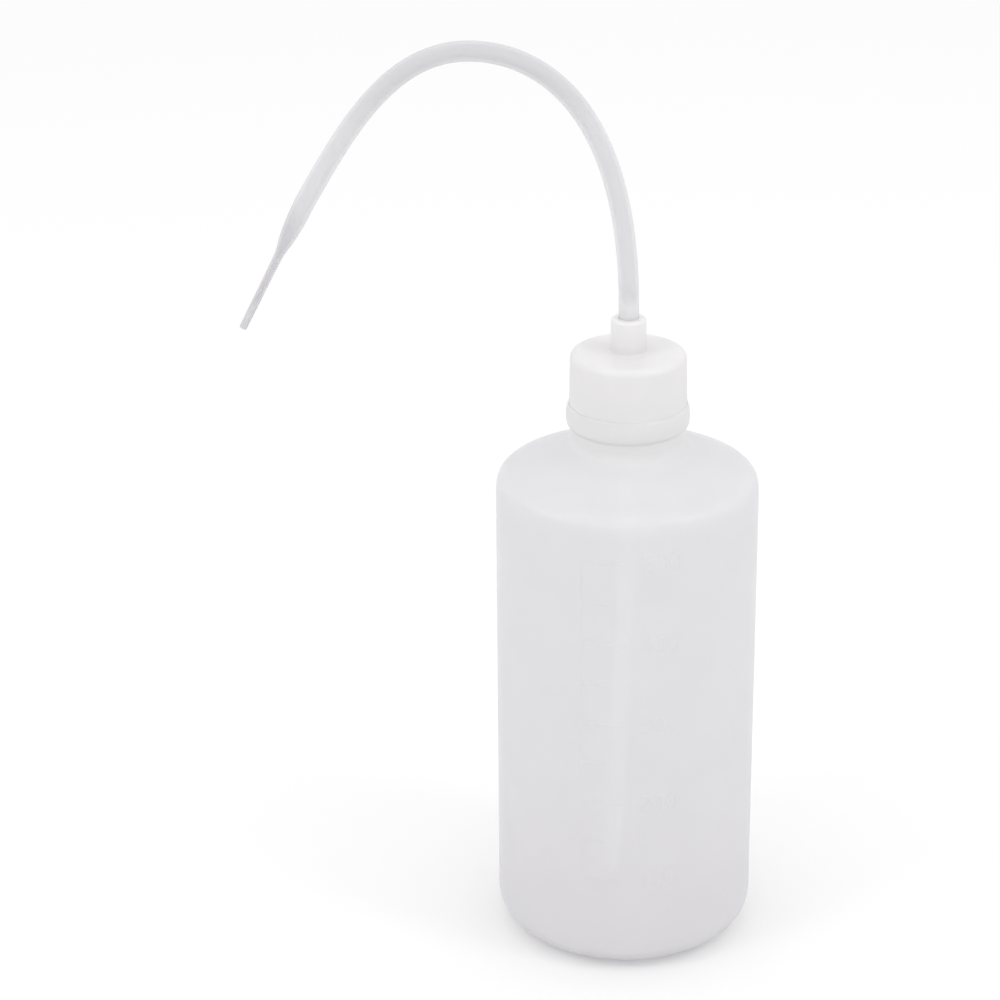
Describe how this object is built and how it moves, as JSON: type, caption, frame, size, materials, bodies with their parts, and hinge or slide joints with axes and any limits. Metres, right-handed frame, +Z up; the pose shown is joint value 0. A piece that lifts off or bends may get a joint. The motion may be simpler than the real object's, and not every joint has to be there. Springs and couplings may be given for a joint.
{
  "type": "wash bottle",
  "caption": "Squeeze wash bottle of natural polyethylene: round graduated bottle, screw cap with washer, dip tube and a swivelling gooseneck delivery tube with a drawn tip.",
  "frame": {"origin": "on the bottle's axis, in the flat plane of the base that it stands on", "axes": "+Z up along the bottle's axis, -X towards the spout's tip, +Y to the back"},
  "size_m": [0.1439, 0.074, 0.2646],
  "materials": {
    "bottle_ldpe": "natural translucent blow-moulded polyethylene, satin and slightly waxy",
    "cap_ldpe": "natural injection-moulded polyethylene, milky and nearly opaque, satin",
    "washer_foam": "white expanded polyethylene, matte",
    "tube_ldpe": "natural translucent extruded polyethylene, smooth satin"
  },
  "bodies": {
    "bottle": {"bottle": "bottle_ldpe"},
    "washer": {"sealing_washer": "washer_foam"},
    "cap": {"screw_cap": "cap_ldpe", "dip_tube": "tube_ldpe"},
    "spout": {"delivery_tube": "tube_ldpe"}
  },
  "joints": [
    {"name": "cap_rise", "type": "slide", "parent": "bottle", "child": "washer", "axis": [0, 0, 1], "range_m": [0, 0.0048]},
    {"name": "cap_turn", "type": "hinge", "parent": "washer", "child": "cap", "pos_m": [0, 0, 0.1615], "axis": [0, 0, 1], "range_deg": [0, 540]},
    {"name": "spout_swivel", "type": "hinge", "parent": "cap", "child": "spout", "pos_m": [0, 0, 0.186], "axis": [0, 0, 1], "continuous": true}
  ],
  "couplings": [
    {"joint": "cap_turn", "follows": "cap_rise", "rad_per_m": 1963.5}
  ]
}
